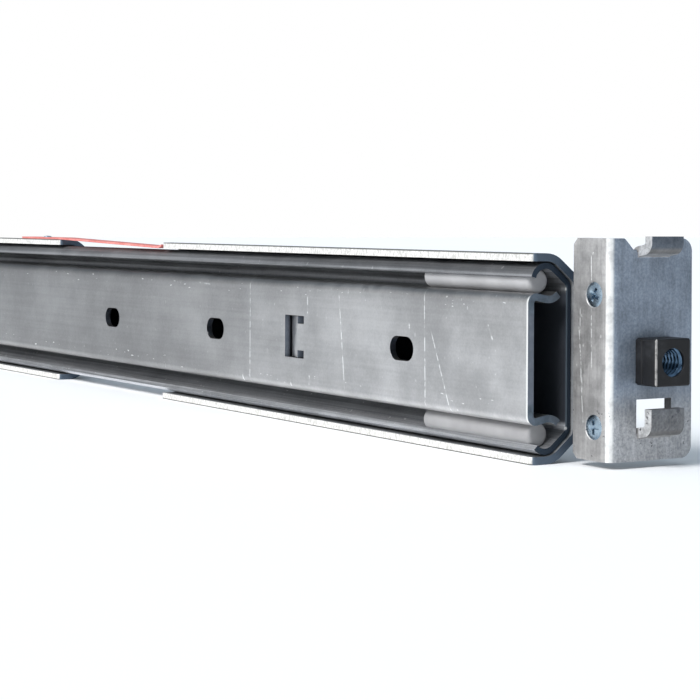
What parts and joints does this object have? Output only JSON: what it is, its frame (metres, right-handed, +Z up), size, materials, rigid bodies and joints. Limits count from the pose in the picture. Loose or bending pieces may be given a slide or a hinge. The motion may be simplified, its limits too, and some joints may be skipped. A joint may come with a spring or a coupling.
{
  "type": "sliding server rail",
  "caption": "Telescoping side rail for rack equipment: an inner member slides in a C-shaped outer member held by clamped sleeves with hooked end brackets.",
  "frame": {"origin": "axis of the front bracket's mounting thread, in the plane of the front flange's face", "axes": "+X forward along the rail, +Z up, -Y towards the server that the rail carries"},
  "size_m": [0.692, 0.0309, 0.0455],
  "materials": {
    "galvanised_sheet": "spangled zinc",
    "zinc_plated": "bright zinc",
    "dark_steel": "greased steel",
    "black_nose": "moulded",
    "white_nylon": "moulded",
    "lever_plastic": "moulded",
    "bumper_rubber": "matt",
    "red_paint": "satin"
  },
  "bodies": {
    "rail": {"outer_member": "galvanised_sheet", "front_sleeve": "galvanised_sheet", "sleeve_rivets": "zinc_plated", "front_bracket": "galvanised_sheet", "front_bracket_screws": "zinc_plated", "front_nose_block": "black_nose", "front_thread_insert": "zinc_plated", "upper_front_glide": "white_nylon", "lower_front_glide": "white_nylon", "clamp_studs": "zinc_plated", "clamp_washers": "zinc_plated", "clamp_nuts": "zinc_plated", "rear_bumper": "bumper_rubber"},
    "inner": {"inner_member": "galvanised_sheet", "upper_rear_glide": "white_nylon", "lower_rear_glide": "white_nylon", "lever_pivot": "dark_steel"},
    "lever": {"release_lever": "lever_plastic"},
    "rear": {"rear_sleeve": "galvanised_sheet", "rear_bracket": "galvanised_sheet", "rear_bracket_screws": "zinc_plated", "rear_nose_block": "black_nose", "rear_thread_insert": "zinc_plated", "tension_leaf": "red_paint", "leaf_rivet": "zinc_plated"}
  },
  "joints": [
    {"name": "inner_slide", "type": "slide", "parent": "rail", "child": "inner", "axis": [1, 0, 0], "range_m": [0, 0.455]},
    {"name": "lever_pivot", "type": "hinge", "parent": "inner", "child": "lever", "pos_m": [-0.5495, -0.0181, 0], "axis": [0, -1, 0], "range_deg": [0, 4.6], "stiffness_Nm_per_rad": 0.02, "springref_deg": -5.73},
    {"name": "rear_depth", "type": "slide", "parent": "rail", "child": "rear", "axis": [-1, 0, 0], "range_m": [0, 0.14]}
  ]
}
